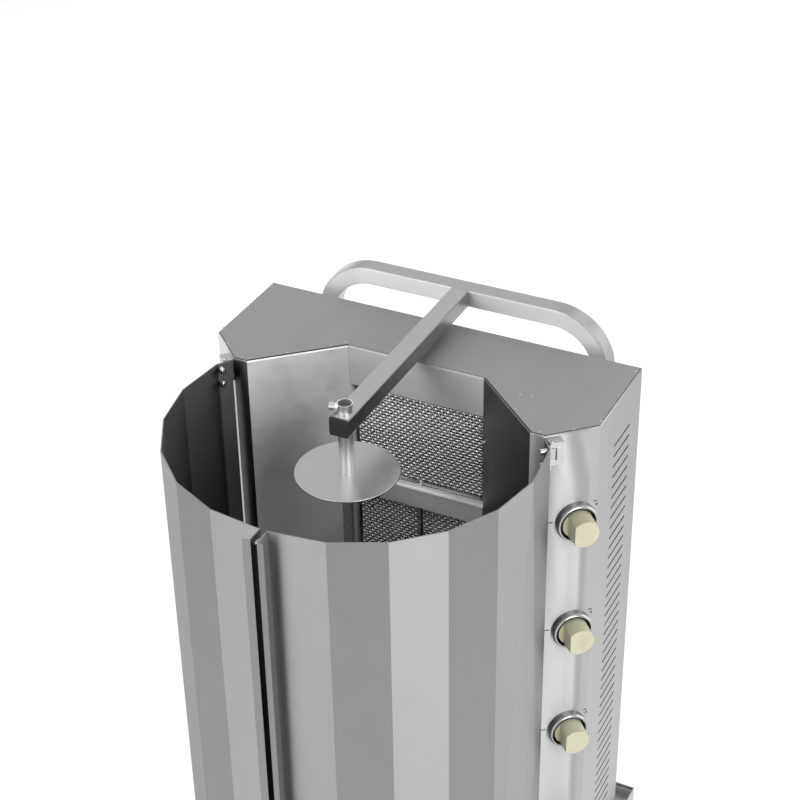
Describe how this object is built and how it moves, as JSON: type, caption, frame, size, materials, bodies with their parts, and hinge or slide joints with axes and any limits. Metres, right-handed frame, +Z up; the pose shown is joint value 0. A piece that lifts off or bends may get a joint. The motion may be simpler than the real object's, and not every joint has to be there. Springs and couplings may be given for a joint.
{
  "type": "gas kebab grill",
  "caption": "Upright gas kebab grill: motor-turned vertical spit before stacked infrared burners, curved hinged doors, drip tray, grease drawer and gas control knobs",
  "frame": {"origin": "on the floor under the middle of the base", "axes": "X to the right as seen from the doors, Y to the back where the frame legs are, Z up along the spit"},
  "size_m": [0.64, 0.6903, 1.021],
  "materials": {
    "panel_steel": "brushed stainless sheet, bright folded edges",
    "door_steel": "brushed stainless sheet",
    "cover_steel": "matt grained stainless sheet",
    "tube_steel": "polished grained square tube",
    "burner_steel": "plain pressed steel",
    "mesh_wire": "woven wire cloth",
    "tile_ceramic": "matt fired ceramic",
    "bright_metal": "bright chrome plating",
    "pin_steel": "turned steel",
    "knob_plastic": "satin ivory heat-proof plastic",
    "black_plastic": "matt black plastic",
    "foot_rubber": "matt black rubber",
    "valve_brass": "machined brass",
    "motor_paint": "satin grey paint",
    "bush_bronze": "oiled bronze"
  },
  "bodies": {
    "housing": {"base_box": "panel_steel", "feet": "foot_rubber", "drip_tray": "panel_steel", "drawer_runners": "burner_steel", "switch_housing": "black_plastic", "cable_gland": "black_plastic", "gear_motor": "motor_paint", "drive_bearing": "bush_bronze", "support_frame": "tube_steel", "support_arm": "tube_steel", "arm_end_cap": "black_plastic", "right_side_panel": "panel_steel", "left_side_panel": "panel_steel", "right_wing_panel": "panel_steel", "left_wing_panel": "panel_steel", "igniters": "tile_ceramic", "header_panel": "panel_steel", "back_panel": "panel_steel", "top_cover": "cover_steel", "divider_shelves": "panel_steel", "burner_row_1": "burner_steel", "burner_row_2": "burner_steel", "burner_row_3": "burner_steel", "burner_row_4": "burner_steel", "ceramic_tiles": "tile_ceramic", "mesh_guard_1": "mesh_wire", "mesh_guard_2": "mesh_wire", "mesh_guard_3": "mesh_wire", "mesh_guard_4": "mesh_wire", "knob_bezels": "bright_metal", "gas_valves": "valve_brass", "gas_manifold": "burner_steel", "feed_pipes": "valve_brass", "gas_inlet": "valve_brass", "hinge_brackets": "panel_steel", "hinge_pins": "pin_steel"},
    "spit": {"drive_shaft": "pin_steel", "meat_plate": "panel_steel", "skewer": "tube_steel"},
    "upper_bearing": {"top_sleeve": "bright_metal", "top_disc": "door_steel"},
    "clamp_screw": {"thumb_screw": "pin_steel"},
    "door_left": {"left_door": "door_steel", "left_door_hinges": "panel_steel", "left_door_studs": "bright_metal", "door_bumper": "bright_metal"},
    "door_right": {"right_door": "door_steel", "right_door_hinges": "panel_steel", "right_door_studs": "bright_metal"},
    "drawer": {"grease_drawer": "panel_steel", "drawer_handle": "tube_steel"},
    "rocker": {"rocker_switch": "black_plastic"},
    "stem_1": {"valve_stem_1": "pin_steel"},
    "knob_1": {"control_knob_1": "knob_plastic"},
    "stem_2": {"valve_stem_2": "pin_steel"},
    "knob_2": {"control_knob_2": "knob_plastic"},
    "stem_3": {"valve_stem_3": "pin_steel"},
    "knob_3": {"control_knob_3": "knob_plastic"},
    "stem_4": {"valve_stem_4": "pin_steel"},
    "knob_4": {"control_knob_4": "knob_plastic"}
  },
  "joints": [
    {"name": "spit_spin", "type": "hinge", "parent": "housing", "child": "spit", "pos_m": [0, -0.06, 0.2], "axis": [0, 0, 1], "continuous": true},
    {"name": "upper_bearing_lift", "type": "slide", "parent": "spit", "child": "upper_bearing", "axis": [0, 0, 1], "range_m": [0, 0.055]},
    {"name": "clamp_screw_turn", "type": "hinge", "parent": "upper_bearing", "child": "clamp_screw", "pos_m": [-0.01449, -0.06388, 1.014], "axis": [-0.9659, -0.2588, 0], "range_deg": [-180, 180]},
    {"name": "right_door_swing", "type": "hinge", "parent": "housing", "child": "door_right", "pos_m": [0.25312, 0.0499, 0.5], "axis": [0, 0, 1], "range_deg": [0, 62]},
    {"name": "left_door_swing", "type": "hinge", "parent": "housing", "child": "door_left", "pos_m": [-0.25312, 0.0499, 0.5], "axis": [0, 0, 1], "range_deg": [-100, 0]},
    {"name": "grease_drawer_pull", "type": "slide", "parent": "housing", "child": "drawer", "axis": [0, -1, 0], "range_m": [0, 0.19]},
    {"name": "rocker_tip", "type": "hinge", "parent": "housing", "child": "rocker", "pos_m": [0.23, -0.3128, 0.07], "axis": [1, 0, 0], "range_deg": [-10, 10]},
    {"name": "valve_1_turn", "type": "hinge", "parent": "housing", "child": "stem_1", "pos_m": [0.27638, 0.08713, 0.817], "axis": [0.6884, -0.7254, 0], "range_deg": [0, 210]},
    {"name": "knob_1_push", "type": "slide", "parent": "stem_1", "child": "knob_1", "axis": [-0.6884, 0.7254, 0], "range_m": [0, 0.0035], "stiffness_N_per_m": 900},
    {"name": "valve_2_turn", "type": "hinge", "parent": "housing", "child": "stem_2", "pos_m": [0.27638, 0.08713, 0.626], "axis": [0.6884, -0.7254, 0], "range_deg": [0, 210]},
    {"name": "knob_2_push", "type": "slide", "parent": "stem_2", "child": "knob_2", "axis": [-0.6884, 0.7254, 0], "range_m": [0, 0.0035], "stiffness_N_per_m": 900},
    {"name": "valve_3_turn", "type": "hinge", "parent": "housing", "child": "stem_3", "pos_m": [0.27638, 0.08713, 0.435], "axis": [0.6884, -0.7254, 0], "range_deg": [0, 210]},
    {"name": "knob_3_push", "type": "slide", "parent": "stem_3", "child": "knob_3", "axis": [-0.6884, 0.7254, 0], "range_m": [0, 0.0035], "stiffness_N_per_m": 900},
    {"name": "valve_4_turn", "type": "hinge", "parent": "housing", "child": "stem_4", "pos_m": [0.27638, 0.08713, 0.244], "axis": [0.6884, -0.7254, 0], "range_deg": [0, 210]},
    {"name": "knob_4_push", "type": "slide", "parent": "stem_4", "child": "knob_4", "axis": [-0.6884, 0.7254, 0], "range_m": [0, 0.0035], "stiffness_N_per_m": 900}
  ]
}
